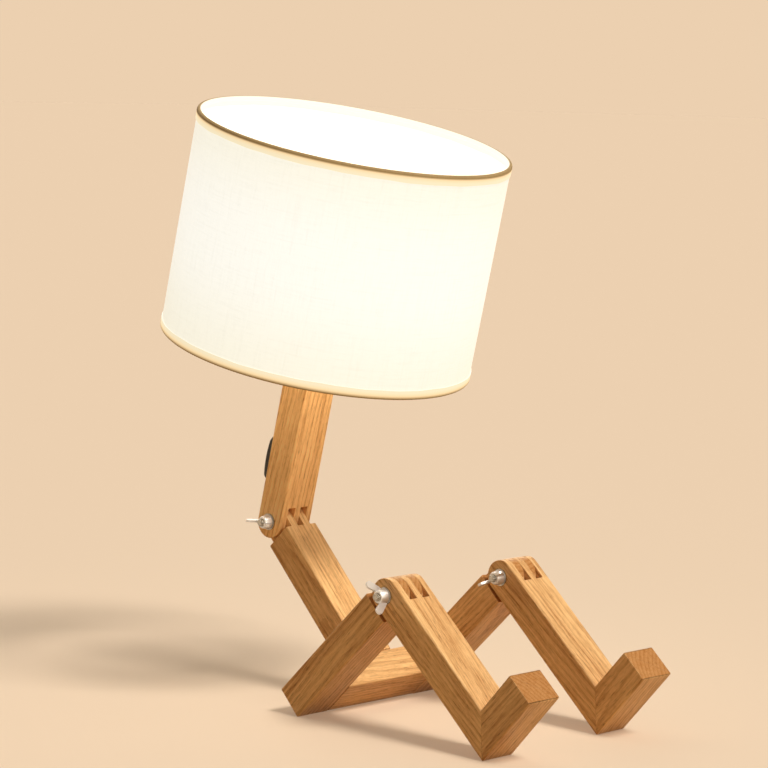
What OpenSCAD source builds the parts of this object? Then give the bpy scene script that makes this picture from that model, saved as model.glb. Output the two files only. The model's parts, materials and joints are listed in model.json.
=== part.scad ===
// Desk lamp in the shape of a seated figure. Timber members turn on finger
// joints that a carriage bolt and a wing nut clamp, and a drum shade is the head.
// +X is the way the figure faces, +Y is its left side, +Z is up.
// The origin is on the floor, under the middle of the whole lamp.

/* [Timber] */
// Width of every timber member, from side to side
stock_w = 30; // [26:0.5:36]
// Depth of every timber member
stock_t = 24; // [21:0.5:28]
// Radius of the eased long edges
edge_r = 1.2; // [0.4:0.1:2.4]
// Chamfer round the ends of the feet
toe_ease = 0.6; // [0.3:0.1:1.2]

/* [Legs] */
// Distance between the centre lines of the two legs
leg_spacing = 116; // [96:1:150]
// Hip end of a thigh to its knee pivot
thigh_l = 126.5; // [105:0.5:140]
// Knee pivot to the sole, along the shin
shin_l = 132; // [115:0.5:150]
// Length of the sole, from heel to toe
foot_l = 60; // [45:0.5:80]
// Slope of the thighs above the floor, in degrees
thigh_rise = 44.2; // [38:0.1:50]

/* [Torso] */
// Width of the hip bar, measured along the thighs
hip_bar_w = 30; // [26:0.5:40]
// Middle of the hip bar's depth to the waist pivot
lower_torso_l = 138.5; // [110:0.5:160]
// Waist pivot to the top end of the upper torso
upper_torso_l = 132; // [120:0.5:150]
// Forward lean of the upper torso from upright, in degrees
torso_lean = 13.1; // [5:0.1:25]

/* [Finger joints] */
// Thickness of each of the three outer fingers
finger_w = 5.4; // [4:0.1:6.5]
// Side play of a tongue between two fingers
finger_play = 0.3; // [0.1:0.05:0.5]
// Gap between a rounded end and the floor of its slot
slot_gap = 1.6; // [1:0.1:3]
// Radial play of bolts, pins and screwed parts in their holes
fit = 0.05; // [0.02:0.01:0.09]

/* [Bolts and wing nuts] */
// Diameter of the joint bolts
bolt_d = 5; // [4:0.5:6]
// Length of the joint bolts under the head
bolt_l = 40; // [38:0.5:50]
// Thread pitch of the joint bolts
bolt_pitch = 0.8; // [0.7:0.05:1]
// Diameter of the domed bolt heads
head_d = 13; // [10:0.5:16]
// Height of the domed bolt heads
head_h = 3; // [2:0.1:4]
// Depth of the square neck under the head
neck_l = 2.6; // [1.5:0.1:3.5]
// Outside diameter of the washers
washer_d = 12; // [10.5:0.5:15]
// Thickness of the washers
washer_t = 1; // [0.6:0.1:1.6]
// Diameter of a wing nut's hub at its base
hub_d = 10.4; // [9:0.2:12]
// Height of a wing nut's hub
hub_h = 6.4; // [5:0.2:8]
// Tip to tip span of a wing nut
wing_span = 24; // [21:0.5:30]
// Height of a wing nut over its wings
wing_h = 12.2; // [10:0.2:15]
// Thickness of the wings
wing_t = 1.6; // [1.2:0.1:3]

/* [Dowels] */
// Diameter of the dowels in the hip and torso
dowel_d = 8; // [6:0.5:10]
// Depth of the hip and torso dowels on their shallow side
dowel_short = 15; // [10:0.5:17]
// Depth of the hip and torso dowels on their deep side
dowel_long = 25; // [18:0.5:32]
// Diameter of the dowels across the ankle mitre
ankle_dowel_d = 6; // [4:0.5:8]
// Length of the dowels across the ankle mitre
ankle_dowel_l = 18; // [12:0.5:22]

/* [Shade] */
// Outside diameter of the shade's fabric
shade_d = 225; // [180:1:260]
// Height of the shade over its rims
shade_h = 160; // [130:1:200]
// How far the lower rim hangs below the top end of the upper torso
shade_drop = 2; // [-2:0.5:12]
// Thickness of the shade's plastic liner
liner_t = 0.4; // [0.3:0.1:1]
// Thickness of the shade's fabric
fabric_t = 0.6; // [0.4:0.1:1]
// Thickness of the tape round each rim
tape_t = 0.4; // [0.3:0.1:0.6]
// Height of the tape round each rim
tape_h = 7; // [5:0.5:14]
// Diameter of the wire rings in the rims
wire_d = 2.8; // [2.4:0.1:4]
// Diameter of the carrier's arms
arm_d = 2.2; // [1.6:0.1:2.2]
// Number of arms in the shade carrier
arm_count = 3; // [3:1:4]

/* [Lampholder] */
// Outside diameter of the threaded nipple
nipple_d = 10; // [9:0.5:11]
// Bore of the threaded nipple
nipple_bore = 7.2; // [6:0.2:7.6]
// Depth of the nipple in the upper torso
nipple_in = 16; // [12:0.5:20]
// Outside diameter of the lampholder's cap
cap_d = 38; // [37:0.5:42]
// Outside diameter of the lampholder's threaded shell
shell_d = 38.8; // [37:0.2:41]
// Outside diameter of the ring nut that clamps the shade
ring_nut_d = 52; // [50:1:58]
// Diameter of the bulb's screw cap
bulb_cap_d = 26.3; // [26:0.1:26.5]
// Diameter of the bulb's globe
globe_d = 60; // [56:1:66]

/* [Switch and cord inlet] */
// Waist pivot to the middle of the switch, along the torso
switch_up = 44; // [43:0.5:70]
// Length of the switch housing
switch_l = 34; // [31:0.5:36]
// Width of the switch housing
switch_w = 26; // [20:0.5:28]
// Height of the switch housing over the timber
switch_h = 5; // [4:0.1:7]
// Tilt of the rocker to each side, in degrees
rocker_tilt = 7; // [4:0.5:9]
// Gap between the switch housing and the flange of the cord inlet
inlet_gap = 1; // [0.5:0.1:2]
// Bore of the cord inlet's bush
inlet_bore = 6.4; // [5.5:0.1:7]

/* [Hidden] */
$fn = 96;

// Colours of the finishes
oak = [0.72, 0.50, 0.28];
birch = [0.86, 0.72, 0.50];
zinc = [0.74, 0.75, 0.76];
brass = [0.80, 0.62, 0.28];
black_plastic = [0.07, 0.07, 0.07];
white_plastic = [0.93, 0.92, 0.89];
porcelain = [0.95, 0.94, 0.91];
linen = [0.93, 0.87, 0.74];
tape_colour = [0.80, 0.68, 0.50];
white_enamel = [0.90, 0.89, 0.86];

// Finger joint: three fingers on one member, two tongues on the other
half_t = stock_t / 2;
slot_w = (stock_w - 3 * finger_w) / 2;
slot_mid = (finger_w + slot_w) / 2;
tongue_w = slot_w - 2 * finger_play;
slot_floor = half_t + slot_gap;
bolt_r = bolt_d / 2;

// Seat frame: the thighs lie along X from the hip's floor edge at the origin
waist_at = [hip_bar_w - half_t, 0, half_t + lower_torso_l];
knee_z = half_t * cos(thigh_rise) + thigh_l * sin(thigh_rise);
// Slope of the shins below level that puts both heels on the floor
shin_drop = asin(knee_z / norm([shin_l, half_t])) - atan(half_t / shin_l);

// Shade heights, along the torso from the waist pivot
shade_up = upper_torso_l - shade_drop;
shade_top = shade_up + shade_h;

// Furthest points to the front and the rear, from the hip's floor edge
knee_x = thigh_l * cos(thigh_rise) - half_t * sin(thigh_rise);
toe_x = knee_x + shin_l * cos(shin_drop) + (foot_l - half_t) * sin(shin_drop)
    - toe_ease * min(sin(shin_drop), cos(shin_drop));
waist_x = waist_at.x * cos(thigh_rise) - waist_at.z * sin(thigh_rise);
// Radius of a rim's wire with its tape
rim_r = wire_d / 2 + tape_t;
// The tape round a wire lies flush with the tape on the fabric
ring_r = shade_d / 2 + tape_t - rim_r;
rear_x = waist_x + (shade_up + rim_r) * sin(torso_lean) - ring_r * cos(torso_lean) - rim_r;
middle_x = (toe_x + rear_x) / 2;

// Rings of the shade, and the drum between them
lower_ring_z = shade_up + rim_r;
upper_ring_z = shade_top - rim_r;
shell_z0 = lower_ring_z + wire_d / 2;
shell_z1 = upper_ring_z - wire_d / 2;
liner_r = shade_d / 2 - fabric_t;

// Lampholder heights above the top end of the upper torso
cap_h = 20;
cap_floor = 2;
nipple_nut_h = 3;
nipple_proud = 1;
core_z = 9;
core_flange = 3;
core_h = 13;
contact_h = 1.2;
collar_h = 3;
carrier_t = 1.6;
ring_nut_h = 8;
ring_nut_flange = 3;
shell_h = 30;
shell_lip = 4;
core_top = core_z + core_h;
bulb_z = core_top + contact_h;
collar_z = cap_h;
seat_z = collar_z + collar_h;
shell_top = collar_z + shell_h;

// Lampholder and bulb radii
cap_wall = 1.8;
cap_ledge = 1.7;
cap_r = cap_d / 2;
cap_in_r = cap_r - cap_wall;
ledge_r = cap_in_r - cap_ledge;
spigot_r = cap_in_r - fit;
sleeve_in_r = bulb_cap_d / 2 + 2 * fit;
sleeve_out_r = sleeve_in_r + 0.7;
contact_r = 2.6;
nipple_r = nipple_d / 2;
carrier_bore_r = shell_d / 2 + 2 * fit;
carrier_rim_r = ring_nut_d / 2 + 1;
collar_r = carrier_bore_r + 3;

// Bulb heights above its centre contact
bulb_contact_h = 0.6;
bulb_base_z = bulb_contact_h + 2;
bulb_neck_z = 28.8;
bulb_rim_z = 58.8;
bulb_steps = 8;
bulb_floor_z = bulb_neck_z + (bulb_rim_z - bulb_neck_z) / bulb_steps;
globe_drop = 6;
board_t = 1.6;
globe_t = 1.2;
bulb_wall = 2;
bulb_cap_t = 0.4;
bulb_cap_r = bulb_cap_d / 2;
bulb_base_r = bulb_cap_r - 1.4;
globe_r = globe_d / 2;
bulb_rim_r = sqrt(globe_r * globe_r - globe_drop * globe_drop);
driver_w = 20;
driver_t = 1.6;

// Cord inlet bush
bush_r = inlet_bore / 2 + 1.3;
bush_flange_r = bush_r + 1;
bush_flange_t = 1.6;
bush_in = 8;
inlet_up = switch_up - switch_l / 2 - inlet_gap - bush_flange_r;

// Wire way down the middle of the upper torso
way_r = 3.5;
way_z0 = inlet_up - way_r;
lead_r = 0.9;
ball_share = 1.04;
bent_share = 0.94;
live_y = 1.3;
neutral_y = -1.5;
joiner_r = 1.3;
joiner_l = 8;
screw_y = 10;
screw_r = 2.2;
screw_h = 2.4;
// The leads leave the middle just under the heads of the terminal screws
lead_z = upper_torso_l + core_z - screw_h / 2;
bend_z = lead_z - 1;

// Switch: housing body behind the timber's back face, with its rocker
body_l = 24;
body_w = 16;
body_in = 10;
rocker_l = 20;
rocker_w = 13;
rocker_gap = 0.35;
rocker_rise = switch_h;
rocker_dip = 1.4;
rocker_keel = 1.5;
pin_r = 1;
body_floor = 1.2;
tab_w = 2.8;
tab_t = 0.8;
tab_l = 5;
tab_z = 6;
tab_room = 3;
pocket_gap = 0.15;

// ---------------------------------------------------------------- frames

module seat_frame() {
    translate([-middle_x, 0, 0]) rotate([0, -thigh_rise, 0]) children();
}

// side is -1 for the right leg and 1 for the left leg; X runs down the shin
module knee_frame(side) {
    seat_frame()
        translate([thigh_l, side * leg_spacing / 2, half_t])
            rotate([0, thigh_rise + shin_drop, 0]) children();
}

// Z runs up the upper torso from the waist pivot, X is its front
module torso_frame() {
    seat_frame() translate(waist_at) rotate([0, thigh_rise + torso_lean, 0]) children();
}

// Above the top end of the upper torso
module holder_frame() {
    torso_frame() translate([0, 0, upper_torso_l]) children();
}

// Above the bulb's centre contact
module bulb_frame() {
    holder_frame() translate([0, 0, bulb_z]) children();
}

// On the back face of the upper torso: X points out of the timber
module back_frame(up) {
    torso_frame() translate([-half_t, 0, up]) mirror([1, 0, 0]) children();
}

// ---------------------------------------------------------------- helpers

module rounded_rect(w, h, r) {
    square([w - 2 * r, h], center = true);
    square([w, h - 2 * r], center = true);
    for (x = [-1, 1], y = [-1, 1])
        translate([x * (w / 2 - r), y * (h / 2 - r)]) circle(r = r);
}

// Extrudes a profile drawn in X and Z to both sides of the middle plane
module side_plate(w) {
    rotate([90, 0, 0]) linear_extrude(w, center = true) children();
}

// Turns a solid drawn up Z so that it runs along +Y from y0
module along_y(y0) {
    translate([0, y0, 0]) rotate([-90, 0, 0]) children();
}

// A bar of the stock from x0 to x1, with its long edges eased
module bar(x0, x1) {
    translate([x0, 0, 0])
        rotate([90, 0, 90]) linear_extrude(x1 - x0) rounded_rect(stock_w, stock_t, edge_r);
}

module rod(p, q, r) {
    v = q - p;
    translate(p)
        rotate([0, acos(v.z / norm(v)), atan2(v.y, v.x)])
            cylinder(h = norm(v), r = r);
}

// A round wire through a list of points, with a ball in each bend and at the last point.
// Past its first bend it is drawn a little thinner, so that the bend closes cleanly.
module wire(points, r) {
    for (i = [1:len(points) - 1]) {
        rod(points[i - 1], points[i], i > 1 ? bent_share * r : r);
        translate(points[i]) sphere(r = ball_share * r);
    }
}

module pivot_bore() {
    along_y(-stock_w) cylinder(h = 2 * stock_w, r = bolt_r + fit);
}

// ---------------------------------------------------------------- timber

// Member with three fingers round the pivot at the origin, up to x1
module fingered_bar(x1) {
    difference() {
        intersection() {
            bar(-half_t - 1, x1);
            side_plate(stock_w + 2) {
                circle(r = half_t);
                translate([0, -stock_t]) square([x1, 2 * stock_t]);
            }
        }
        for (s = [-1, 1])
            translate([-stock_t, s * slot_mid - slot_w / 2, -stock_t])
                cube([stock_t + slot_floor, slot_w, 2 * stock_t]);
        pivot_bore();
        translate([0, (stock_w - neck_l) / 2, 0])
            cube([bolt_d + 2 * fit, neck_l + 2 * fit, bolt_d + 2 * fit], center = true);
    }
}

// Member from x0 with two tongues round its pivot at x1
module tongued_bar(x0, x1) {
    cut_x = x1 - slot_floor;
    tongue_out = slot_mid + tongue_w / 2;
    tongue_in = slot_mid - tongue_w / 2;
    difference() {
        intersection() {
            bar(x0, x1 + half_t + 1);
            side_plate(stock_w + 2) {
                translate([x1, 0]) circle(r = half_t);
                translate([x0, -stock_t]) square([x1 - x0, 2 * stock_t]);
            }
        }
        for (m = [0, 1]) mirror([0, m, 0])
            translate([cut_x, tongue_out, -stock_t]) cube([2 * stock_t, stock_w, 2 * stock_t]);
        translate([cut_x, -tongue_in, -stock_t]) cube([2 * stock_t, 2 * tongue_in, 2 * stock_t]);
        translate([x1, 0, 0]) pivot_bore();
    }
}

// Dowels, or with a play of 1 the slightly wider and deeper holes for them
module hip_dowel_holes(side, play) {
    for (x = [0.3, 0.7])
        translate([x * hip_bar_w, side * (leg_spacing - stock_w) / 2, half_t])
            along_y(side > 0 ? -dowel_long - play : -dowel_short - play)
                cylinder(h = dowel_long + dowel_short + 2 * play, r = dowel_d / 2 + play * fit);
}

module torso_dowel_holes(play) {
    for (y = [-1, 1])
        translate([waist_at.x, y * stock_w / 4, stock_t - dowel_short - play])
            cylinder(h = dowel_long + dowel_short + 2 * play, r = dowel_d / 2 + play * fit);
}

module thigh(side) {
    color(oak) seat_frame() difference() {
        translate([0, side * leg_spacing / 2, half_t]) tongued_bar(0, thigh_l);
        hip_dowel_holes(side, 1);
    }
}

module thigh_right() { thigh(-1); }
module thigh_left() { thigh(1); }

module hip_bar() {
    bar_l = leg_spacing - stock_w;
    color(oak) seat_frame() difference() {
        translate([hip_bar_w / 2, 0, half_t])
            side_plate(bar_l) rounded_rect(hip_bar_w, stock_t, edge_r);
        for (side = [-1, 1]) hip_dowel_holes(side, 1);
        torso_dowel_holes(1);
    }
}

module lower_torso() {
    color(oak) seat_frame() difference() {
        translate([waist_at.x, 0, 0])
            rotate([0, -90, 0]) tongued_bar(stock_t, waist_at.z);
        torso_dowel_holes(1);
    }
}

module hip_dowels() {
    color(birch) seat_frame() for (side = [-1, 1]) hip_dowel_holes(side, 0);
}

module torso_dowels() {
    color(birch) seat_frame() torso_dowel_holes(0);
}

// The half plane on the foot's side of the ankle mitre, in the shin's X and Z
module mitre_side() {
    far = 2 * (shin_l + foot_l);
    translate([shin_l, -half_t]) rotate(45) translate([0, -far / 2]) square([far, far]);
}

module ankle_dowel_pair(play) {
    for (y = [-1, 1])
        translate([shin_l - half_t, y * stock_w / 4, 0])
            rotate([0, 45, 0]) translate([0, 0, -ankle_dowel_l / 2 - play])
                cylinder(h = ankle_dowel_l + 2 * play, r = ankle_dowel_d / 2 + play * fit);
}

module shin(side) {
    color(oak) knee_frame(side) difference() {
        fingered_bar(shin_l + 1);
        side_plate(2 * stock_w) mitre_side();
        ankle_dowel_pair(1);
    }
}

module foot(side) {
    color(oak) knee_frame(side) difference() {
        intersection() {
            translate([shin_l - half_t, 0, -half_t])
                linear_extrude(foot_l) rounded_rect(stock_t, stock_w, edge_r);
            side_plate(stock_w + 2) intersection() {
                mitre_side();
                translate([shin_l - stock_t, -half_t]) polygon([
                    [0, 0], [stock_t, 0], [stock_t, foot_l - toe_ease], [stock_t - toe_ease, foot_l],
                    [toe_ease, foot_l], [0, foot_l - toe_ease]
                ]);
            }
        }
        ankle_dowel_pair(1);
    }
}

module shin_right() { shin(-1); }
module shin_left() { shin(1); }
module foot_right() { foot(-1); }
module foot_left() { foot(1); }

module ankle_dowels_right() {
    color(birch) knee_frame(-1) ankle_dowel_pair(0);
}

module ankle_dowels_left() {
    color(birch) knee_frame(1) ankle_dowel_pair(0);
}

// ---------------------------------------------------------------- joint hardware

// Carriage bolt along Y, with its head on the left face of the member
module carriage_bolt() {
    tip = 0.75 * bolt_pitch;
    dome_r = (head_d * head_d / 4 + head_h * head_h) / (2 * head_h);
    along_y(stock_w / 2 - bolt_l)
        rotate_extrude() polygon([
            [0, 0], [bolt_r - tip, 0], [bolt_r, tip], [bolt_r, bolt_l], [0, bolt_l]
        ]);
    translate([0, (stock_w - neck_l) / 2, 0]) cube([bolt_d, neck_l, bolt_d], center = true);
    along_y(stock_w / 2) intersection() {
        translate([0, 0, head_h - dome_r]) sphere(r = dome_r);
        cylinder(h = head_h, r = head_d);
    }
}

module washer() {
    along_y(-stock_w / 2 - washer_t) difference() {
        cylinder(h = washer_t, d = washer_d);
        translate([0, 0, -1]) cylinder(h = washer_t + 2, r = bolt_r + fit);
    }
}

module wing_outline() {
    tip_r = 0.22 * wing_h;
    tip_x = wing_span / 2 - tip_r;
    tip_y = wing_h - tip_r;
    root_x = hub_d / 4;
    translate([tip_x, tip_y]) circle(r = tip_r);
    polygon([
        [root_x, 0.12 * hub_h], [hub_d / 2, 0.12 * hub_h],
        [tip_x + tip_r * cos(-42), tip_y + tip_r * sin(-42)],
        [tip_x + tip_r * cos(135), tip_y + tip_r * sin(135)],
        [root_x, hub_h]
    ]);
}

// Wing nut on the washer, on the right face; turn is the angle of its wings
module wing_nut(turn) {
    translate([0, -stock_w / 2 - washer_t, 0]) rotate([90, 0, 0]) rotate([0, 0, turn])
        difference() {
            union() {
                rotate_extrude() polygon([
                    [0, 0], [hub_d / 2, 0], [hub_d / 2, 0.2 * hub_h],
                    [0.42 * hub_d, 0.9 * hub_h], [0.36 * hub_d, hub_h], [0, hub_h]
                ]);
                for (s = [0, 180]) rotate([0, 0, s])
                    rotate([90, 0, 0]) linear_extrude(wing_t, center = true) wing_outline();
            }
            translate([0, 0, -1]) cylinder(h = wing_h + 2, r = bolt_r + fit);
        }
}

module knee_bolt_right() { color(zinc) knee_frame(-1) carriage_bolt(); }
module knee_bolt_left() { color(zinc) knee_frame(1) carriage_bolt(); }
module waist_bolt() { color(zinc) torso_frame() carriage_bolt(); }
module knee_washer_right() { color(zinc) knee_frame(-1) washer(); }
module knee_washer_left() { color(zinc) knee_frame(1) washer(); }
module waist_washer() { color(zinc) torso_frame() washer(); }
module knee_wing_nut_right() { color(zinc) knee_frame(-1) wing_nut(163); }
module knee_wing_nut_left() { color(zinc) knee_frame(1) wing_nut(73); }
module waist_wing_nut() { color(zinc) torso_frame() wing_nut(9); }

// ---------------------------------------------------------------- upper torso

module upper_torso() {
    color(oak) torso_frame() difference() {
        rotate([0, -90, 0]) fingered_bar(upper_torso_l);
        // nipple hole and wire way
        translate([0, 0, upper_torso_l - nipple_in]) cylinder(h = nipple_in + 1, r = nipple_r + fit);
        translate([0, 0, way_z0]) cylinder(h = upper_torso_l, r = way_r);
        // pocket for the switch body, with a deeper part for its terminals
        translate([-half_t - 1, -body_w / 2 - pocket_gap, switch_up - body_l / 2 - pocket_gap])
            cube([body_in + 1 + pocket_gap, body_w + 2 * pocket_gap, body_l + 2 * pocket_gap]);
        translate([-half_t, -way_r, switch_up - tab_z - tab_room])
            cube([half_t + tab_l, 2 * way_r, 2 * (tab_z + tab_room)]);
        // hole for the cord bush, open to the wire way
        translate([0, 0, inlet_up]) rotate([0, -90, 0]) cylinder(h = stock_t, r = bush_r);
    }
}

// ---------------------------------------------------------------- switch and wiring

module switch_housing() {
    corner = 5;
    crown_r = switch_l * switch_l / (8 * 0.37 * switch_h);
    cavity_l = rocker_l + 4 * rocker_gap;
    cavity_w = rocker_w + 2 * rocker_gap;
    color(black_plastic) back_frame(switch_up) difference() {
        union() {
            intersection() {
                rotate([90, 0, 90]) linear_extrude(switch_h) rounded_rect(switch_w, switch_l, corner);
                translate([switch_h - crown_r, 0, 0])
                    along_y(-switch_w) cylinder(h = 2 * switch_w, r = crown_r);
            }
            translate([-body_in / 2, 0, 0]) cube([body_in, body_w, body_l], center = true);
        }
        translate([-body_in + body_floor, -cavity_w / 2, -cavity_l / 2])
            cube([body_in + switch_h, cavity_w, cavity_l]);
        along_y(-body_w) cylinder(h = 2 * body_w, r = pin_r + fit);
    }
}

// Rocker at rest with its upper end pressed in
module switch_rocker() {
    color(black_plastic) back_frame(switch_up) rotate([0, -rocker_tilt, 0]) {
        side_plate(rocker_w) polygon([
            [-rocker_keel, -rocker_l / 2], [rocker_rise, -rocker_l / 2], [rocker_rise - rocker_dip, 0],
            [rocker_rise, rocker_l / 2], [-rocker_keel, rocker_l / 2],
            [-1.6 * rocker_keel, 2 * pin_r], [-1.6 * rocker_keel, -2 * pin_r]
        ]);
        along_y(-body_w / 2) cylinder(h = body_w, r = pin_r);
    }
}

module switch_terminals() {
    color(brass) torso_frame() for (s = [-1, 1])
        translate([body_in - half_t, live_y - tab_w / 2, switch_up + s * tab_z - tab_t / 2])
            cube([tab_l, tab_w, tab_t]);
}

module live_wire() {
    color([0.45, 0.25, 0.12]) torso_frame() wire([
        [0, live_y, switch_up + tab_z + tab_t / 2], [0, live_y, bend_z],
        [0, screw_y - screw_r - ball_share * lead_r, lead_z]
    ], lead_r);
}

module neutral_wire() {
    color([0.15, 0.30, 0.60]) torso_frame() wire([
        [0, neutral_y, inlet_up + joiner_l], [0, neutral_y, bend_z],
        [0, screw_r + ball_share * lead_r - screw_y, lead_z]
    ], lead_r);
}

module supply_tail() {
    color([0.45, 0.25, 0.12]) torso_frame()
        rod([0, live_y, inlet_up + joiner_l], [0, live_y, switch_up - tab_z - tab_t / 2], lead_r);
}

module wire_joiners() {
    color(white_plastic) torso_frame() for (y = [live_y, neutral_y])
        translate([0, y, inlet_up]) cylinder(h = joiner_l, r = joiner_r);
}

module cord_bush() {
    color(black_plastic) back_frame(inlet_up) rotate([0, 90, 0]) difference() {
        union() {
            translate([0, 0, -bush_in]) cylinder(h = bush_in, r = bush_r);
            cylinder(h = bush_flange_t, r = bush_flange_r);
        }
        translate([0, 0, -bush_in - 1]) cylinder(h = bush_in + bush_flange_t + 2, d = inlet_bore);
    }
}

// ---------------------------------------------------------------- lampholder

module holder_nipple() {
    color(zinc) holder_frame() translate([0, 0, -nipple_in]) difference() {
        cylinder(h = nipple_in + cap_floor + nipple_nut_h + nipple_proud, r = nipple_r);
        translate([0, 0, -1]) cylinder(h = nipple_in + cap_h, d = nipple_bore);
    }
}

module nipple_nut() {
    color(zinc) holder_frame() translate([0, 0, cap_floor]) difference() {
        cylinder(h = nipple_nut_h, d = 1.6 * nipple_d, $fn = 6);
        translate([0, 0, -1]) cylinder(h = nipple_nut_h + 2, r = nipple_r + fit);
    }
}

module holder_cap() {
    color(white_plastic) holder_frame() rotate_extrude() polygon([
        [nipple_r + fit, 0], [0.62 * cap_r, 0], [0.88 * cap_r, 3], [cap_r, 8], [cap_r, cap_h],
        [cap_in_r, cap_h], [cap_in_r, core_z], [ledge_r, core_z], [ledge_r, 5.6],
        [0.56 * cap_r, cap_floor], [nipple_r + fit, cap_floor]
    ]);
}

module holder_core() {
    color(porcelain) holder_frame() rotate_extrude() polygon([
        [0, core_z], [spigot_r, core_z], [spigot_r, core_z + core_flange],
        [sleeve_out_r, core_z + core_flange], [sleeve_out_r, core_top], [0, core_top]
    ]);
}

module terminal_screws() {
    color(brass) holder_frame() for (s = [-1, 1])
        translate([0, s * screw_y, core_z - screw_h]) cylinder(h = screw_h, r = screw_r);
}

module centre_contact() {
    color(brass) holder_frame() translate([0, 0, core_top]) cylinder(h = contact_h, r = contact_r);
}

module screw_sleeve() {
    color(brass) holder_frame() translate([0, 0, core_top]) difference() {
        cylinder(h = shell_top - shell_lip - core_top, r = sleeve_out_r);
        translate([0, 0, -1]) cylinder(h = shell_h + 2, r = sleeve_in_r);
    }
}

module holder_shell() {
    in_r = sleeve_out_r + fit;
    flange_z = core_z + core_flange;
    color(white_plastic) holder_frame() rotate_extrude() polygon([
        [in_r, flange_z], [spigot_r, flange_z], [spigot_r, collar_z],
        [collar_r, collar_z], [collar_r, seat_z],
        [shell_d / 2, seat_z], [shell_d / 2, shell_top],
        [sleeve_in_r, shell_top], [sleeve_in_r, shell_top - shell_lip], [in_r, shell_top - shell_lip]
    ]);
}

module shade_ring_nut() {
    grips = 24;
    grip_r = 1.2;
    nut_r = ring_nut_d / 2;
    body_r = nut_r - 2.5;
    color(white_plastic) holder_frame() translate([0, 0, seat_z + carrier_t]) difference() {
        union() {
            cylinder(h = ring_nut_flange, r = nut_r);
            linear_extrude(ring_nut_h) difference() {
                circle(r = body_r);
                for (i = [0:grips - 1]) rotate(i * 360 / grips)
                    translate([body_r + grip_r / 2, 0]) circle(r = grip_r);
            }
        }
        translate([0, 0, -1]) cylinder(h = ring_nut_h + 2, r = shell_d / 2 + fit);
    }
}

// ---------------------------------------------------------------- bulb

module bulb_contact() {
    color(zinc) bulb_frame() cylinder(h = bulb_contact_h, r = 4.4);
}

module bulb_insulator() {
    color(black_plastic) bulb_frame() translate([0, 0, bulb_contact_h])
        cylinder(h = bulb_base_z - bulb_contact_h, r1 = 5.4, r2 = bulb_base_r - bulb_cap_t / 2);
}

module bulb_screw_cap() {
    shoulder_z = bulb_base_z + 1.6;
    in_r = bulb_cap_r - bulb_cap_t;
    color(zinc) bulb_frame() rotate_extrude() polygon([
        [bulb_base_r - bulb_cap_t, bulb_base_z], [bulb_base_r, bulb_base_z], [bulb_cap_r, shoulder_z],
        [bulb_cap_r, bulb_neck_z], [in_r, bulb_neck_z], [in_r, shoulder_z]
    ]);
}

module bulb_body() {
    neck_r = bulb_cap_r + 0.6;
    span_r = bulb_rim_r - neck_r;
    span_z = bulb_rim_z - bulb_neck_z;
    ledge_z = bulb_rim_z - board_t;
    function side_r(t) = neck_r + span_r * (0.25 * t + 0.75 * sin(90 * t) * t);
    function side_at(i, wall) = [side_r(i / bulb_steps) - wall, bulb_neck_z + span_z * i / bulb_steps];
    color(white_plastic) bulb_frame() rotate_extrude() polygon(concat(
        [[0, bulb_neck_z]],
        [for (i = [0:bulb_steps]) side_at(i, 0)],
        [[bulb_rim_r - bulb_wall, bulb_rim_z], [bulb_rim_r - bulb_wall, ledge_z],
         [bulb_rim_r - 2 * bulb_wall, ledge_z]],
        [for (i = [bulb_steps - 2:-1:1]) side_at(i, bulb_wall)],
        [[0, bulb_floor_z]]
    ));
}

// Circuit board that stands on the floor of the bulb's body and carries the LED board
module bulb_driver() {
    color([0.10, 0.32, 0.18]) bulb_frame() translate([-driver_w / 2, -driver_t / 2, bulb_floor_z])
        cube([driver_w, driver_t, bulb_rim_z - board_t - bulb_floor_z]);
}

module led_board() {
    leds = 12;
    led_w = 2.8;
    led_h = 0.7;
    color(white_enamel) bulb_frame() translate([0, 0, bulb_rim_z - board_t]) {
        cylinder(h = board_t, r = bulb_rim_r - bulb_wall - fit);
        for (i = [0:leds - 1]) rotate([0, 0, i * 360 / leds])
            translate([0.58 * bulb_rim_r, 0, board_t + led_h / 2]) cube([led_w, led_w, led_h], center = true);
    }
}

module bulb_globe() {
    globe_mid = bulb_rim_z + globe_drop;
    color([0.98, 0.96, 0.90]) bulb_frame() difference() {
        translate([0, 0, globe_mid]) sphere(r = globe_r);
        translate([0, 0, globe_mid]) sphere(r = globe_r - globe_t);
        translate([-globe_d, -globe_d, bulb_rim_z - 2 * globe_d]) cube(2 * globe_d);
    }
}

// ---------------------------------------------------------------- shade

module ring(z) {
    translate([0, 0, z]) rotate_extrude() translate([ring_r, 0]) circle(d = wire_d);
}

module carrier_arms(play) {
    hub_z = upper_torso_l + seat_z + carrier_t / 2;
    for (i = [0:arm_count - 1])
        rotate([0, 0, 180 + i * 360 / arm_count])
            rod([carrier_rim_r - 1, 0, hub_z], [ring_r, 0, lower_ring_z], arm_d / 2 + play);
}

module shade_carrier() {
    color(white_enamel) torso_frame() {
        difference() {
            carrier_arms(0);
            translate([0, 0, upper_torso_l]) cylinder(h = shell_top, r = carrier_rim_r - 0.5);
            ring(lower_ring_z);
        }
        translate([0, 0, upper_torso_l + seat_z]) difference() {
            cylinder(h = carrier_t, r = carrier_rim_r);
            translate([0, 0, -1]) cylinder(h = carrier_t + 2, r = carrier_bore_r);
        }
    }
}

module shade_bottom_ring() {
    color(white_enamel) torso_frame() ring(lower_ring_z);
}

module shade_top_ring() {
    color(white_enamel) torso_frame() ring(upper_ring_z);
}

module drum(out_r, t) {
    translate([0, 0, shell_z0]) difference() {
        cylinder(h = shell_z1 - shell_z0, r = out_r);
        translate([0, 0, -1]) cylinder(h = shade_h, r = out_r - t);
    }
}

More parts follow.
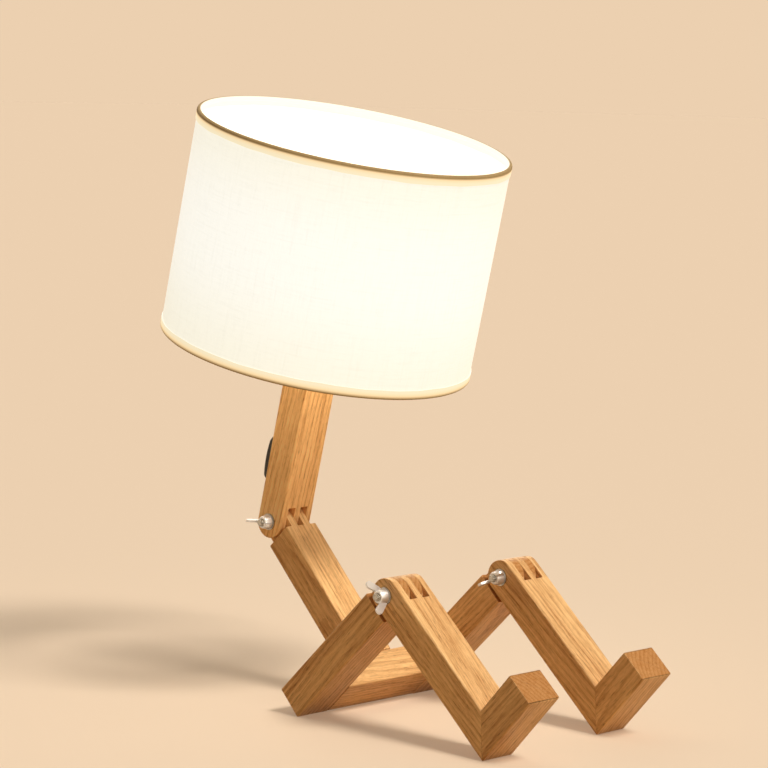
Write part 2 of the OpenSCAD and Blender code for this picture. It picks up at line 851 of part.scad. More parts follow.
module shade_liner() {
    color([0.97, 0.95, 0.90]) torso_frame() difference() {
        drum(liner_r, liner_t);
        carrier_arms(fit);
    }
}

module shade_fabric() {
    color(linen) torso_frame() difference() {
        drum(shade_d / 2, fabric_t);
        carrier_arms(fit);
    }
}

// Tape folded round a rim's ring and down both faces; up is 1 where it hangs from the top
module rim_tape(z, up) {
    in_r = liner_r - liner_t;
    translate([0, 0, z]) rotate_extrude() difference() {
        union() {
            translate([ring_r, 0]) circle(r = rim_r);
            for (x = [in_r - tape_t, shade_d / 2])
                translate([x, up > 0 ? rim_r - tape_h : 0]) square([tape_t, tape_h - rim_r]);
        }
        translate([ring_r, 0]) circle(d = wire_d);
        translate([in_r, up > 0 ? -tape_h : 0]) square([shade_d / 2 - in_r, tape_h]);
    }
}

module shade_top_tape() {
    color(tape_colour) torso_frame() rim_tape(upper_ring_z, 1);
}

module shade_bottom_tape() {
    color(tape_colour) torso_frame() difference() {
        rim_tape(lower_ring_z, -1);
        carrier_arms(fit);
    }
}

// ---------------------------------------------------------------- assembly

thigh_right();
thigh_left();
hip_bar();
lower_torso();
hip_dowels();
torso_dowels();
shin_right();
foot_right();
ankle_dowels_right();
knee_bolt_right();
knee_washer_right();
knee_wing_nut_right();
shin_left();
foot_left();
ankle_dowels_left();
knee_bolt_left();
knee_washer_left();
knee_wing_nut_left();
upper_torso();
waist_bolt();
waist_washer();
waist_wing_nut();
switch_housing();
switch_rocker();
switch_terminals();
live_wire();
neutral_wire();
supply_tail();
wire_joiners();
cord_bush();
holder_nipple();
nipple_nut();
holder_cap();
holder_core();
terminal_screws();
centre_contact();
screw_sleeve();
holder_shell();
shade_ring_nut();
bulb_contact();
bulb_insulator();
bulb_screw_cap();
bulb_body();
bulb_driver();
led_board();
bulb_globe();
shade_carrier();
shade_bottom_ring();
shade_top_ring();
shade_liner();
shade_fabric();
shade_top_tape();
shade_bottom_tape();
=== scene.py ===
import json
import math

import bmesh
import bpy
from bpy.props import FloatProperty, FloatVectorProperty, IntProperty, PointerProperty
from mathutils import Matrix, Vector


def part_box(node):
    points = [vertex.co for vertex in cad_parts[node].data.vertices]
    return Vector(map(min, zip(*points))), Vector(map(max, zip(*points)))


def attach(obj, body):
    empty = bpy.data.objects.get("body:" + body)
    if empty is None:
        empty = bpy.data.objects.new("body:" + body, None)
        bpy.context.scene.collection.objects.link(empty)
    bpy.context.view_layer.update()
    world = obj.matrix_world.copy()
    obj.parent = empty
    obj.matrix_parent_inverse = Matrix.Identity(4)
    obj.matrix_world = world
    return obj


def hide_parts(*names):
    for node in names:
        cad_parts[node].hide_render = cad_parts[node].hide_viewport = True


bl_info = {
    "name": "Seated figure desk lamp",
    "version": (1, 0, 0),
    "blender": (4, 5, 0),
    "location": "3D View > Sidebar > Desk lamp",
    "description": "Finishes, hardware and shade of a posable wooden desk lamp",
    "category": "Object",
}

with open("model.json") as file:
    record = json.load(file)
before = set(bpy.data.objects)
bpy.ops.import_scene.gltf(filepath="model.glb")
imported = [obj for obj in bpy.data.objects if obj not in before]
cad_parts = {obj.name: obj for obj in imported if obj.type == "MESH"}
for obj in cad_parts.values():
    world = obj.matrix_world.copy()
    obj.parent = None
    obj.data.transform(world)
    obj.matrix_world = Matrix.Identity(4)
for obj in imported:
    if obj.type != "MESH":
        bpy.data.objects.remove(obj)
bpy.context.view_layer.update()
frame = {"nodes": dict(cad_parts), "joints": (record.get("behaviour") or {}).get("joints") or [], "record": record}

MM = 0.001
ACROSS = Vector((0, 1, 0))

# ------------------------ places taken from the frame

JOINTS = {joint["name"]: joint for joint in frame["joints"]}
MOUNTS = {mount["name"]: mount for mount in frame["record"]["mounts"]}

WAIST = Vector(JOINTS["waist"]["pos_m"])
KNEES = {side: Vector(JOINTS["knee_" + side]["pos_m"]) for side in ("right", "left")}

# The torso's front and its way up
TORSO_FRONT = -Vector(MOUNTS["cord_inlet"]["axis"]).normalized()
TORSO_UP = TORSO_FRONT.cross(ACROSS)

# The thighs' way from hip to knee, and the way the lower torso stands up from them
SEAT_UP = Vector(MOUNTS["book_rest_right"]["axis"]).normalized()
THIGH_WAY = ACROSS.cross(SEAT_UP)

# Timber section, and the shin from its pivot to the sole
STOCK_W = 30 * MM
STOCK_T = 24 * MM
SHIN_L = 132 * MM
HEEL_ANGLE = math.atan(STOCK_T / 2 / SHIN_L)
SHIN_DROP = math.asin(KNEES["right"].z / math.hypot(SHIN_L, STOCK_T / 2)) - HEEL_ANGLE
SHIN_WAY = Vector((math.cos(SHIN_DROP), 0, -math.sin(SHIN_DROP)))
FOOT_WAY = Vector((math.sin(SHIN_DROP), 0, math.cos(SHIN_DROP)))

# Shade, along the torso from the waist pivot
SHADE_R = 112.5 * MM
SHADE_UP = 130 * MM
SHADE_H = 160 * MM
WIRE_R = 1.4 * MM
TAPE_T = 0.4 * MM
LINER_T = 0.4 * MM
CLOTH_GAP = 0.6 * MM
RIM_R = WIRE_R + TAPE_T
RING_R = SHADE_R + TAPE_T - RIM_R
LOWER_RING = SHADE_UP + RIM_R
UPPER_RING = SHADE_UP + SHADE_H - RIM_R
BULB_UP = 218 * MM

# Bolts and wing nuts
BOLT_R = 2.5 * MM
BOLT_L = 40 * MM
BOLT_TIP = 0.6 * MM
THREAD_DEPTH = 0.35 * MM
RIDGE_R = 0.34 * MM
RIDGE_SIDES = 6
RIDGE_STEPS = 28
HEAD_R = 6.5 * MM
HEAD_H = 3 * MM
NECK_L = 2.6 * MM
WASHER_T = 1 * MM
HUB_R = 5.2 * MM
HUB_H = 6.4 * MM
WING_SPAN = 24 * MM
WING_H = 12.2 * MM
WING_T = 1.6 * MM


def placed(origin, x_axis, z_axis):
    """The matrix of a frame at origin, with those two axes."""
    y_axis = z_axis.cross(x_axis)
    turn = Matrix((x_axis, y_axis, z_axis)).transposed().to_4x4()
    return Matrix.Translation(origin) @ turn


TORSO = placed(WAIST, TORSO_FRONT, TORSO_UP)
KNEE = {side: placed(KNEES[side], SHIN_WAY, FOOT_WAY) for side in KNEES}
# Turns a solid drawn up Z so that it points to the figure's right
TO_RIGHT = Matrix.Rotation(math.radians(90), 4, "X")


def tone(red, green, blue):
    """A screen colour, 0 to 255, as linear values."""
    shares = [c / 255 for c in (red, green, blue)]
    return tuple(s / 12.92 if s <= 0.04045 else ((s + 0.055) / 1.055) ** 2.4 for s in shares)


def rgba(colour):
    return (*colour[:3], 1.0)


# ------------------------ sizes and colours to change


class TimberSettings(bpy.types.PropertyGroup):
    light: FloatVectorProperty(
        name="Light wood", description="Colour between the growth rings",
        default=tone(252, 205, 142), size=3, min=0, max=1, subtype="COLOR")
    dark: FloatVectorProperty(
        name="Dark wood", description="Colour at the end of a growth ring",
        default=tone(178, 116, 55), size=3, min=0, max=1, subtype="COLOR")
    pore: FloatVectorProperty(
        name="Pores", description="Colour of the open pores along the grain",
        default=tone(112, 66, 28), size=3, min=0, max=1, subtype="COLOR")
    ring_spacing: FloatProperty(
        name="Ring spacing", description="Distance between two growth rings",
        default=3.1 * MM, min=MM, max=10 * MM, unit="LENGTH")
    easing: FloatProperty(
        name="Easing", description="Width of the rounding along the timber's edges",
        default=0.4 * MM, min=0.1 * MM, max=MM, unit="LENGTH")


class ShadeSettings(bpy.types.PropertyGroup):
    cloth: FloatVectorProperty(
        name="Cloth", description="Colour of the shade's cloth",
        default=tone(120, 116, 102), size=3, min=0, max=1, subtype="COLOR")
    # Painted shade: the hem tape over the wire is ivory cloth, and this brown stands for it in shade
    hem: FloatVectorProperty(
        name="Hem", description="Colour of the hem over the wire rings",
        default=tone(172, 145, 98), size=3, min=0, max=1, subtype="COLOR")
    glow: FloatVectorProperty(
        name="Glow", description="Colour of the light through the cloth",
        default=tone(255, 254, 245), size=3, min=0, max=1, subtype="COLOR")
    glow_strength: FloatProperty(
        name="Glow strength", description="Strength of the light through the cloth",
        default=0.935, min=0, max=2)
    hem_width: FloatProperty(
        name="Hem width", description="Width of the hem on the cloth below a rim",
        default=5.2 * MM, min=2 * MM, max=12 * MM, unit="LENGTH")


class HardwareSettings(bpy.types.PropertyGroup):
    zinc: FloatVectorProperty(
        name="Zinc", description="Colour of the plated steel",
        default=tone(190, 187, 180), size=3, min=0, max=1, subtype="COLOR")
    pitch: FloatProperty(
        name="Thread pitch", description="Pitch of the bolts' thread",
        default=0.8 * MM, min=0.4 * MM, max=1.5 * MM, unit="LENGTH")
    thread_turns: IntProperty(
        name="Thread turns", description="Turns of thread shown at the end of each bolt",
        default=20, min=4, max=40)


class StageSettings(bpy.types.PropertyGroup):
    floor: FloatVectorProperty(
        name="Floor", description="Colour of the floor and the background",
        default=tone(236, 208, 176), size=3, min=0, max=1, subtype="COLOR")
    bounce: FloatVectorProperty(
        name="Bounce", description="Colour of the floor's share of the light on the lamp",
        default=(0.52, 0.33, 0.13), size=3, min=0, max=1, subtype="COLOR")
    key: FloatProperty(
        name="Key light", description="Strength of the main light", default=2.45, min=0, max=10)
    front: FloatProperty(
        name="Front light", description="Strength of the light from the front", default=0.6, min=0, max=10)
    back: FloatProperty(
        name="Back light", description="Strength of the light from behind", default=0.6, min=0, max=10)
    sky: FloatProperty(
        name="Sky", description="Strength of the light all round", default=0.14, min=0, max=2)


# ------------------------ meshes


def finished(obj, angle=35):
    """Shades a mesh smooth up to that angle."""
    obj.data.shade_smooth()
    obj.data.set_sharp_from_angle(angle=math.radians(angle))
    return obj


def linked(name, data):
    """A new object in the scene."""
    obj = bpy.data.objects.new(name, data)
    bpy.context.scene.collection.objects.link(obj)
    return obj


def piece(name, mesh, material):
    """A new object with that mesh and material."""
    obj = linked(name, mesh)
    if material is not None:
        mesh.materials.clear()
        mesh.materials.append(material)
    return obj


def settled(obj):
    """The object with its modifiers taken into a plain mesh."""
    graph = bpy.context.evaluated_depsgraph_get()
    mesh = bpy.data.meshes.new_from_object(obj.evaluated_get(graph))
    obj.modifiers.clear()
    obj.data = mesh
    return obj


def drawn(name, shape):
    """The mesh of a finished bmesh."""
    mesh = bpy.data.meshes.new(name)
    shape.to_mesh(mesh)
    shape.free()
    return mesh


def lathe(name, outline, segments, wave=None):
    """A mesh spun round Z from points of radius and height. An outline that starts and ends on
    the axis closes there, and any other closes on itself. Its UV map holds metres."""
    shape = bmesh.new()
    uv = shape.loops.layers.uv.new("UVMap")
    open_ends = outline[0][0] == 0 and outline[-1][0] == 0
    rows = []
    for index, (radius, height) in enumerate(outline):
        if radius == 0:
            rows.append([shape.verts.new((0, 0, height))] * segments)
            continue
        row = []
        for step in range(segments):
            turn = 2 * math.pi * step / segments
            lift = wave(turn, index) if wave else 0
            row.append(shape.verts.new((radius * math.cos(turn), radius * math.sin(turn), height + lift)))
        rows.append(row)
    along = [0.0]
    for (r0, z0), (r1, z1) in zip(outline, outline[1:] + outline[:1]):
        along.append(along[-1] + math.hypot(r1 - r0, z1 - z0))
    wide = 2 * math.pi * max(radius for radius, _ in outline) / segments
    last = len(rows) - (1 if open_ends else 0)
    for i in range(last):
        low, high = rows[i], rows[(i + 1) % len(rows)]
        for j in range(segments):
            k = (j + 1) % segments
            corners = [(low[j], j, i), (low[k], j + 1, i), (high[k], j + 1, i + 1), (high[j], j, i + 1)]
            seen, kept = set(), []
            for vert, u, v in corners:
                if vert not in seen:
                    seen.add(vert)
                    kept.append((vert, u, v))
            if len(kept) < 3:
                continue
            face = shape.faces.new([vert for vert, _, _ in kept])
            for loop, (_, u, v) in zip(face.loops, kept):
                loop[uv].uv = (u * wide, along[v])
    bmesh.ops.recalc_face_normals(shape, faces=shape.faces)
    return drawn(name, shape)


def box_mesh(name, low, high):
    """A closed box between two corners."""
    shape = bmesh.new()
    bmesh.ops.create_cube(shape, size=1)
    for vert in shape.verts:
        for axis in range(3):
            vert.co[axis] = low[axis] if vert.co[axis] < 0 else high[axis]
    return drawn(name, shape)


def extruded(name, outline, thickness):
    """A closed plate in the XZ plane, from its outline, to both sides of that plane."""
    shape = bmesh.new()
    verts = [shape.verts.new((x, -thickness / 2, z)) for x, z in outline]
    face = shape.faces.new(verts)
    made = bmesh.ops.extrude_face_region(shape, geom=[face])
    moved = [v for v in made["geom"] if isinstance(v, bmesh.types.BMVert)]
    bmesh.ops.translate(shape, verts=moved, vec=(0, thickness, 0))
    bmesh.ops.recalc_face_normals(shape, faces=shape.faces)
    return drawn(name, shape)


def joined(name, meshes, material):
    """One object from several meshes."""
    shape = bmesh.new()
    for mesh in meshes:
        shape.from_mesh(mesh)
    return piece(name, drawn(name, shape), material)


def united(name, meshes, material):
    """One closed object from solids that reach into each other."""
    body = piece(name, meshes[0], None)
    for mesh in meshes[1:]:
        tool = piece(name + "_tool", mesh, None)
        union = body.modifiers.new("union", "BOOLEAN")
        union.operation = "UNION"
        union.solver = "EXACT"
        union.object = tool
        settled(body)
        bpy.data.objects.remove(tool)
    body.data.materials.clear()
    body.data.materials.append(material)
    return body


# Rounded edges are those sharper than this, in this many steps
SHARP_ANGLE = math.radians(32)
EASING_STEPS = 3
# Corners of a CAD mesh closer than this are one, and its faces within this angle are one flat face
WELD = 0.001 * MM
FLAT_ANGLE = math.radians(0.4)


def bevelled(obj, width, clamped=True):
    """Rounds the sharp edges of a piece, and shades it so that its flat faces stay flat."""
    obj.data.shade_smooth()
    bevel = obj.modifiers.new("bevel", "BEVEL")
    bevel.width = width
    bevel.segments = EASING_STEPS
    bevel.limit_method = "ANGLE"
    bevel.angle_limit = SHARP_ANGLE
    bevel.use_clamp_overlap = clamped
    flats = obj.modifiers.new("flats", "WEIGHTED_NORMAL")
    flats.mode = "FACE_AREA"
    flats.weight = 100
    return settled(obj)


def eased(node, body, material, easing):
    """A piece from a CAD solid, with whole flat faces and eased edges."""
    shape = bmesh.new()
    shape.from_mesh(frame["nodes"][node].data)
    bmesh.ops.remove_doubles(shape, verts=shape.verts, dist=WELD)
    bmesh.ops.dissolve_limit(shape, angle_limit=FLAT_ANGLE, verts=shape.verts, edges=shape.edges)
    made = bevelled(piece(node + "_eased", drawn(node, shape), material), easing, clamped=False)
    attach(made, body)
    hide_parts(node)
    return made


# ------------------------ shader building


def add(tree, kind, inputs=None, **settings):
    """A node with its settings, and its inputs set or linked."""
    made = tree.nodes.new(kind)
    for name, value in settings.items():
        setattr(made, name, value)
    for key, value in (inputs or {}).items():
        if isinstance(value, bpy.types.NodeSocket):
            tree.links.new(value, made.inputs[key])
        else:
            made.inputs[key].default_value = value
    return made


def scaled(tree, vector, scale):
    return add(tree, "ShaderNodeVectorMath", {0: vector, 1: scale}, operation="MULTIPLY").outputs[0]


def noise(tree, vector, scale, detail=2.0, roughness=0.5):
    """Noise of the vector stretched by scale, from 0 to 1."""
    return add(tree, "ShaderNodeTexNoise", {
        "Vector": scaled(tree, vector, scale), "Scale": 1.0, "Detail": detail,
        "Roughness": roughness}).outputs[0]


def band(tree, value, low, high, out_low=0.0, out_high=1.0):
    """The value taken from one range to another, without passing its ends."""
    return add(tree, "ShaderNodeMapRange", {
        "Value": value, "From Min": low, "From Max": high, "To Min": out_low, "To Max": out_high},
        interpolation_type="SMOOTHSTEP").outputs[0]


def maths(tree, operation, first, second=0.0):
    return add(tree, "ShaderNodeMath", {0: first, 1: second}, operation=operation).outputs[0]


def mixed(tree, share, first, second):
    """A colour between two colours."""
    return add(tree, "ShaderNodeMix", {0: share, 6: first, 7: second}, data_type="RGBA").outputs[2]


def new_material(name):
    """A new material, with its node tree, shader and object coordinates."""
    material = bpy.data.materials.new(name)
    material.use_nodes = True
    tree = material.node_tree
    tree.nodes.clear()
    shader = tree.nodes.new("ShaderNodeBsdfPrincipled")
    output = tree.nodes.new("ShaderNodeOutputMaterial")
    tree.links.new(shader.outputs[0], output.inputs[0])
    place = tree.nodes.new("ShaderNodeTexCoord").outputs["Object"]
    return material, tree, shader, place


def bumped(tree, shader, height, strength, distance):
    bump = add(tree, "ShaderNodeBump", {"Strength": strength, "Distance": distance, "Height": height})
    tree.links.new(bump.outputs[0], shader.inputs["Normal"])


def dress(material, *nodes):
    """Gives those CAD nodes that material."""
    for node in nodes:
        mesh = frame["nodes"][node].data
        mesh.materials.clear()
        mesh.materials.append(material)


# ------------------------ timber

# Each member with its body, its way along the grain and a gain on its colour: the wood's own paleness, but on the
# upper torso mostly painted light from the lamp above it
MEMBERS = {
    "thigh_right": ("pelvis", THIGH_WAY, 1.0), "thigh_left": ("pelvis", THIGH_WAY, 1.03),
    "hip_bar": ("pelvis", ACROSS, 0.98), "lower_torso": ("pelvis", SEAT_UP, 1.03),
    "upper_torso": ("torso", TORSO_UP, 1.2),
    "shin_right": ("shin_right", SHIN_WAY, 1.04), "shin_left": ("shin_left", SHIN_WAY, 1.0),
    "foot_right": ("shin_right", FOOT_WAY, 0.98), "foot_left": ("shin_left", FOOT_WAY, 1.0),
}

# How far, and how quickly along and across the grain, the growth rings stray from round
BEND = (0.0, 7 * MM, 7 * MM)
BEND_SCALE = (7.0, 14.0, 14.0)
# Each layer of the figure: the scale of its noise along and across the grain, its detail and
# roughness, whether it bends with the rings, and the range of the noise that shows
FIGURE = {
    "broad": (5.0, 60.0, 2.0, 0.5, False, 0.4, 0.66),
    "streaks": (9.0, 330.0, 3.0, 0.6, True, 0.43, 0.64),
    "fibres": (42.0, 1000.0, 3.0, 0.6, True, 0.42, 0.66),
    "mottle": (210.0, 520.0, 3.0, 0.7, False, 0.38, 0.68),
    "pores": (150.0, 1700.0, 1.0, 0.4, True, 0.6, 0.7),
}
# The share of the dark wood that each layer brings, that the rings bring on a long face and on an
# end, and that an end has of itself
DARKENING = {"broad": 0.16, "streaks": 0.28, "fibres": 0.25, "mottle": 0.15}
RING_SHARES = (0.28, 0.16)
END_SHARE = 0.74
# How much of the figure is left on an end
FIGURE_AT_END = 0.32

# The slope of the grain in a member, and the distance from its middle to the tree's heart
GRAIN_SLOPE = math.radians(3.2)
HEART_AWAY = 45 * MM
# Steps from one member to the next: along the tree, round its heart and in the way of the slope
TREE_STEP = 0.4
HEART_TURN = 2.4
SLOPE_TURN = 2.1


def grain_group(settings):
    """The wood itself: growth rings round X, with streaks, fibres and pores along it."""
    group = bpy.data.node_groups.new("grain", "ShaderNodeTree")
    group.interface.new_socket("Vector", in_out="INPUT", socket_type="NodeSocketVector")
    group.interface.new_socket("End", in_out="INPUT", socket_type="NodeSocketFloat")
    group.interface.new_socket("Colour", in_out="OUTPUT", socket_type="NodeSocketColor")
    group.interface.new_socket("Roughness", in_out="OUTPUT", socket_type="NodeSocketFloat")
    group.interface.new_socket("Height", in_out="OUTPUT", socket_type="NodeSocketFloat")
    vector, end = group.nodes.new("NodeGroupInput").outputs[:2]

    bend = add(group, "ShaderNodeTexNoise", {
        "Vector": scaled(group, vector, BEND_SCALE), "Scale": 1.0, "Detail": 2.0}).outputs["Color"]
    sway = add(group, "ShaderNodeVectorMath", {0: bend, 1: (0.5, 0.5, 0.5)}, operation="SUBTRACT").outputs[0]
    warped = add(group, "ShaderNodeVectorMath", {
        0: vector, 1: scaled(group, sway, BEND)}, operation="ADD").outputs[0]
    # A ring texture turns once in 2 pi / 20 of its own unit
    rings = add(group, "ShaderNodeTexWave", {
        "Vector": warped, "Scale": 2 * math.pi / 20 / settings.ring_spacing, "Distortion": 1.6,
        "Detail": 2.0, "Detail Scale": 0.7},
        wave_type="RINGS", rings_direction="X", wave_profile="SAW").outputs["Fac"]

    layers = {}
    for name, (length, width, detail, roughness, bends, low, high) in FIGURE.items():
        pattern = noise(group, warped if bends else vector, (length, width, width), detail, roughness)
        layers[name] = band(group, pattern, low, high)
    # Pores gather in the streaks
    pits = maths(group, "MULTIPLY", layers["pores"], band(group, layers["streaks"], 0.0, 1.0, 0.35, 1.0))

    long_share = band(group, end, 0.0, 1.0, 1.0, FIGURE_AT_END)
    late = band(group, rings, 0.4, 1.0)
    depth = maths(group, "MULTIPLY", late, band(group, end, 0.0, 1.0, *RING_SHARES))
    for name, share in DARKENING.items():
        shown = maths(group, "MULTIPLY", layers[name], maths(group, "MULTIPLY", long_share, share))
        depth = maths(group, "ADD", depth, shown)
    depth = maths(group, "ADD", depth, maths(group, "MULTIPLY", end, END_SHARE))
    wood = mixed(group, depth, rgba(settings.light), rgba(settings.dark))
    coloured = mixed(group, maths(group, "MULTIPLY", pits, 0.5), wood, rgba(settings.pore))

    satin = band(group, layers["fibres"], 0.0, 1.0, 0.4, 0.5)
    rough = maths(group, "ADD", satin, maths(group, "MULTIPLY", pits, 0.2))
    height = maths(group, "SUBTRACT", maths(group, "MULTIPLY", layers["fibres"], 0.3), pits)
    out = group.nodes.new("NodeGroupOutput")
    for index, socket in enumerate((coloured, rough, height)):
        group.links.new(socket, out.inputs[index])
    return group


def timber_material(group, name, grain, paleness_and_painted_light, turn):
    """The wood of one member, with its own place in the tree and a grain that isn't quite straight."""
    material, tree, shader, place = new_material("oak_" + name)
    low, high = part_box(name)
    side = ACROSS if grain is not ACROSS else SEAT_UP
    squared = Matrix((grain, side, grain.cross(side)))
    slope_way = SLOPE_TURN * turn
    lean = Matrix.Rotation(GRAIN_SLOPE * math.sin(slope_way), 3, "Y")
    slope = lean @ Matrix.Rotation(GRAIN_SLOPE * math.cos(slope_way), 3, "Z")
    rotation = slope @ squared
    # The heart of the tree lies outside the member, on a different side of each
    heart_way = HEART_TURN * turn
    heart = Vector((TREE_STEP * turn, HEART_AWAY * math.cos(heart_way), HEART_AWAY * math.sin(heart_way)))
    local = add(tree, "ShaderNodeMapping", {
        "Vector": place, "Location": heart - rotation @ ((low + high) / 2),
        "Rotation": rotation.to_euler()}).outputs[0]
    normal = tree.nodes.new("ShaderNodeTexCoord").outputs["Normal"]
    facing = add(tree, "ShaderNodeVectorMath", {
        0: normal, 1: grain}, operation="DOT_PRODUCT").outputs["Value"]
    end = band(tree, maths(tree, "ABSOLUTE", facing), 0.6, 0.95)
    wood = add(tree, "ShaderNodeGroup", node_tree=group)
    tree.links.new(local, wood.inputs["Vector"])
    tree.links.new(end, wood.inputs["End"])
    # Scales the wood's colour: its own paleness, and on the upper torso painted light from the lamp
    colour = add(tree, "ShaderNodeVectorMath", {
        0: wood.outputs["Colour"], "Scale": paleness_and_painted_light}, operation="SCALE").outputs[0]
    tree.links.new(colour, shader.inputs["Base Color"])
    tree.links.new(wood.outputs["Roughness"], shader.inputs["Roughness"])
    shader.inputs["Specular IOR Level"].default_value = 0.22
    shader.inputs["Coat Weight"].default_value = 0.06
    shader.inputs["Coat Roughness"].default_value = 0.25
    bumped(tree, shader, wood.outputs["Height"], 0.25, 0.2 * MM)
    return material


class LAMP_OT_timber(bpy.types.Operator):
    """Makes the timber members with eased edges, and their wood with the grain along each"""
    bl_idname = "lamp.timber"
    bl_label = "Timber members"

    def execute(self, context):
        settings = context.scene.lamp_timber
        group = grain_group(settings)
        for turn, (name, (body, grain, paleness_and_painted_light)) in enumerate(MEMBERS.items()):
            material = timber_material(group, name, grain, paleness_and_painted_light, turn + 1)
            eased(name, body, material, settings.easing)
        return {"FINISHED"}


class LAMP_OT_dowels(bpy.types.Operator):
    """Gives the dowels in the hip, torso and ankles their plain wood"""
    bl_idname = "lamp.dowels"
    bl_label = "Dowels"

    def execute(self, context):
        material, tree, shader, place = new_material("birch")
        streaks = noise(tree, place, (300.0, 300.0, 40.0), 3.0)
        colour = mixed(tree, streaks, rgba(tone(226, 196, 148)), rgba(tone(200, 164, 112)))
        tree.links.new(colour, shader.inputs["Base Color"])
        shader.inputs["Roughness"].default_value = 0.6
        dress(material, "hip_dowels", "torso_dowels", "ankle_dowels_right", "ankle_dowels_left")
        return {"FINISHED"}


# ------------------------ hardware

# Sides of a turned piece of hardware
ROUND_STEPS = 48


def zinc_material(settings):
    """Bright zinc on steel, with faint handling marks."""
    material, tree, shader, place = new_material("zinc")
    cloud = noise(tree, place, (420.0, 420.0, 420.0), 4.0, 0.6)
    marks = noise(tree, place, (2600.0, 2600.0, 2600.0), 2.0, 0.6)
    worn = tuple(0.72 * c for c in settings.zinc)
    colour = mixed(tree, band(tree, cloud, 0.35, 0.7), rgba(settings.zinc), rgba(worn))
    tree.links.new(colour, shader.inputs["Base Color"])
    tree.links.new(band(tree, cloud, 0.3, 0.7, 0.12, 0.26), shader.inputs["Roughness"])
    shader.inputs["Metallic"].default_value = 1.0
    bumped(tree, shader, marks, 0.12, 0.05 * MM)
    return material


def thread_tree():
    """Geometry nodes for a thread: a ridge that winds up Z."""
    tree = bpy.data.node_groups.new("thread_ridge", "GeometryNodeTree")
    for name, kind in (
            ("Radius", "NodeSocketFloat"), ("Pitch", "NodeSocketFloat"), ("Turns", "NodeSocketFloat"),
            ("Ridge", "NodeSocketFloat"), ("Material", "NodeSocketMaterial")):
        tree.interface.new_socket(name, in_out="INPUT", socket_type=kind)
    tree.interface.new_socket("Geometry", in_out="OUTPUT", socket_type="NodeSocketGeometry")
    given = tree.nodes.new("NodeGroupInput").outputs
    rise = maths(tree, "MULTIPLY", given["Pitch"], given["Turns"])
    coil = add(tree, "GeometryNodeCurveSpiral", {
        "Resolution": RIDGE_STEPS, "Rotations": given["Turns"], "Start Radius": given["Radius"],
        "End Radius": given["Radius"], "Height": rise}).outputs[0]
    section = add(tree, "GeometryNodeCurvePrimitiveCircle", {
        "Resolution": RIDGE_SIDES, "Radius": given["Ridge"]}, mode="RADIUS").outputs[0]
    ridge = add(tree, "GeometryNodeCurveToMesh", {
        "Curve": coil, "Profile Curve": section, "Fill Caps": True}).outputs[0]
    real = add(tree, "GeometryNodeRealizeInstances", {0: ridge}).outputs[0]
    dressed = add(tree, "GeometryNodeSetMaterial", {
        "Geometry": real, "Material": given["Material"]}).outputs[0]
    out = tree.nodes.new("NodeGroupOutput")
    tree.links.new(dressed, out.inputs[0])
    return tree


def thread_mesh(tree, material, radius, pitch, turns, ridge):
    """The plain mesh of a thread from z = 0 up."""
    carrier = piece("thread", bpy.data.meshes.new("thread"), None)
    nodes = carrier.modifiers.new("thread", "NODES")
    nodes.node_group = tree
    given = {"Radius": radius, "Pitch": pitch, "Turns": float(turns), "Ridge": ridge, "Material": material}
    for item in tree.interface.items_tree:
        if item.in_out == "INPUT":
            nodes[item.identifier] = given[item.name]
    settled(carrier)
    mesh = carrier.data
    bpy.data.objects.remove(carrier)
    return mesh


def bolt_piece(name, settings, tree, material, place):
    """A carriage bolt: domed head, square neck and a shank whose far end is threaded."""
    core = BOLT_R - THREAD_DEPTH
    thread_l = settings.pitch * settings.thread_turns
    dome_r = (HEAD_R ** 2 + HEAD_H ** 2) / (2 * HEAD_H)
    dome = [(0, -HEAD_H)]
    steps = 10
    half = math.asin(HEAD_R / dome_r)
    for i in range(1, steps + 1):
        a = half * i / steps
        dome.append((dome_r * math.sin(a), -HEAD_H + dome_r * (1 - math.cos(a))))
    outline = dome + [
        (HEAD_R - 0.3 * MM, 0.0), (BOLT_R, 0.0), (BOLT_R, BOLT_L - thread_l - MM), (core, BOLT_L - thread_l),
        (core, BOLT_L - BOLT_TIP), (core - BOLT_TIP, BOLT_L), (0, BOLT_L)]
    shank = lathe(name, outline, ROUND_STEPS)
    neck = box_mesh(name, (-BOLT_R, -BOLT_R, 0), (BOLT_R, BOLT_R, NECK_L))
    ridge = thread_mesh(tree, material, core, settings.pitch, settings.thread_turns, RIDGE_R)
    ridge.transform(Matrix.Translation((0, 0, BOLT_L - thread_l - THREAD_DEPTH)))
    bolt = joined(name, [shank, neck, ridge], material)
    bolt.data.transform(place @ Matrix.Translation((0, STOCK_W / 2, 0)) @ TO_RIGHT)
    return finished(bolt)


# Each bolt with its frame and body
BOLTS = {
    "knee_bolt_right": (KNEE["right"], "shin_right"),
    "knee_bolt_left": (KNEE["left"], "shin_left"),
    "waist_bolt": (TORSO, "torso"),
}
# Each wing nut with its frame, body and the angle of its wings in degrees
WING_NUTS = {
    "knee_wing_nut_right": (KNEE["right"], "knee_nut_right", 163),
    "knee_wing_nut_left": (KNEE["left"], "knee_nut_left", 73),
    "waist_wing_nut": (TORSO, "waist_nut", 9),
}


class LAMP_OT_bolts(bpy.types.Operator):
    """Makes the carriage bolts with their threads, and the washers' finish"""
    bl_idname = "lamp.bolts"
    bl_label = "Bolts and washers"

    def execute(self, context):
        settings = context.scene.lamp_hardware
        material = zinc_material(settings)
        tree = thread_tree()
        for name, (place, body) in BOLTS.items():
            bolt = bolt_piece(name + "_threaded", settings, tree, material, place)
            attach(bolt, body)
            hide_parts(name)
        dress(material, "knee_washer_right", "knee_washer_left", "waist_washer")
        return {"FINISHED"}


# The hub's outside from its foot up, as shares of its radius and height
HUB_PROFILE = (
    (0.94, 0.0), (1.0, 0.05), (1.0, 0.2), (0.94, 0.5), (0.85, 0.85), (0.76, 0.97), (0.66, 1.0), (0.56, 1.0))
# Room between a bolt and its nut, and the rounding of the nut's edges
NUT_PLAY = 0.05 * MM
NUT_EASING = 0.4 * MM
